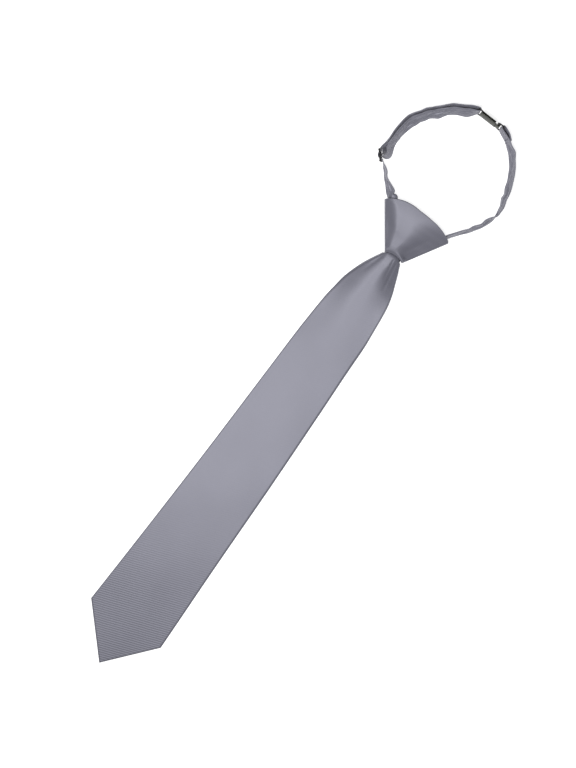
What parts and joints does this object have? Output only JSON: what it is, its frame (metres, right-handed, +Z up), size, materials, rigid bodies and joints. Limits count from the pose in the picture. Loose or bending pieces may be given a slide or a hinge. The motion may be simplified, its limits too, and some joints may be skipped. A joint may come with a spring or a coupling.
{
  "type": "pre-tied necktie",
  "caption": "Pre-tied necktie lying flat: pointed folded blade, hollow knot, and an adjustable neck strap with slider and hook clasp.",
  "frame": {"origin": "on the ground under the middle of the whole tie's box", "axes": "+Y from the blade's tip to the clasp, +X to the right seen from the front, +Z up, the tie's front"},
  "size_m": [0.1272, 0.6282, 0.0217],
  "materials": {
    "tie_cloth": "fine diagonal rib, satin sheen",
    "strap_cloth": "narrow tube of the same cloth, rumpled",
    "gunmetal": "dull gunmetal plate",
    "black_metal": "black enamelled wire"
  },
  "bodies": {
    "root": {"blade": "tie_cloth", "knot": "tie_cloth", "strap_left": "strap_cloth", "strap_right": "strap_cloth", "slider": "black_metal", "clasp_hook": "gunmetal", "clasp_ring": "black_metal"}
  },
  "joints": []
}
